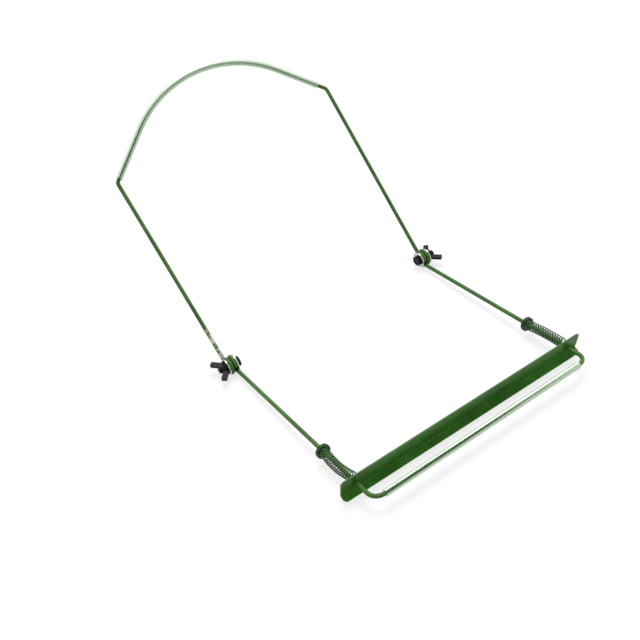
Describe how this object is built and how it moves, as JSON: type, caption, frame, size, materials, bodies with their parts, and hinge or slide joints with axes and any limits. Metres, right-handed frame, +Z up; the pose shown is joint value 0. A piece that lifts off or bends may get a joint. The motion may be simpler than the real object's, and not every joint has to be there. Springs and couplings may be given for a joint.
{
  "type": "harmonica holder",
  "caption": "Wire neck holder: padded neck yoke on wing-nut pivots and a front frame with a sprung clamp plate that grips a mouth harp against a sleeved bar.",
  "frame": {"origin": "centre of the bounding box at the surface that the holder stands on", "axes": "+Z up, +Y from the front bar towards the neck yoke, +X along the fold axis from the left pivot to the right one, as seen from the front bar"},
  "size_m": [0.2228, 0.3436, 0.1803],
  "materials": {
    "green_paint": "gloss paint on steel wire",
    "green_plate_paint": "gloss paint on sheet steel",
    "green_spring_paint": "gloss paint on spring wire",
    "dark_green_paint": "gloss paint on steel",
    "black_steel": "black oxide",
    "bright_steel": "bright zinc",
    "dark_washer": "dark fibre",
    "clear_tube": "clear soft vinyl"
  },
  "bodies": {
    "front_frame": {"front_frame_wire": "green_paint", "bar_sleeve": "clear_tube", "stop_collar_left": "dark_green_paint", "spring_left": "green_spring_paint", "pivot_bolt_left": "black_steel", "head_washer_left": "bright_steel", "friction_washer_left": "dark_washer", "nut_washer_left": "bright_steel", "stop_collar_right": "dark_green_paint", "spring_right": "green_spring_paint", "pivot_bolt_right": "black_steel", "head_washer_right": "bright_steel", "friction_washer_right": "dark_washer", "nut_washer_right": "bright_steel"},
    "yoke": {"neck_yoke_wire": "green_paint", "neck_sleeve": "clear_tube"},
    "clamp": {"clamp_plate": "green_plate_paint"},
    "nut_left": {"wing_nut_left": "black_steel"},
    "nut_right": {"wing_nut_right": "black_steel"}
  },
  "joints": [
    {"name": "yoke_fold", "type": "hinge", "parent": "front_frame", "child": "yoke", "pos_m": [0, 0.02007, 0.0075], "axis": [1, 0, 0], "range_deg": [-45, 127]},
    {"name": "clamp_slide", "type": "slide", "parent": "front_frame", "child": "clamp", "axis": [0, 0.9991, -0.0434], "range_m": [-0.013, 0.014], "stiffness_N_per_m": 3000, "springref_m": -0.028, "deforming": ["spring_left", "spring_right"]},
    {"name": "wing_nut_left_turn", "type": "hinge", "parent": "front_frame", "child": "nut_left", "pos_m": [-0.105, 0.02007, 0.0075], "axis": [-1, 0, 0], "continuous": true},
    {"name": "wing_nut_right_turn", "type": "hinge", "parent": "front_frame", "child": "nut_right", "pos_m": [0.105, 0.02007, 0.0075], "axis": [1, 0, 0], "continuous": true}
  ]
}
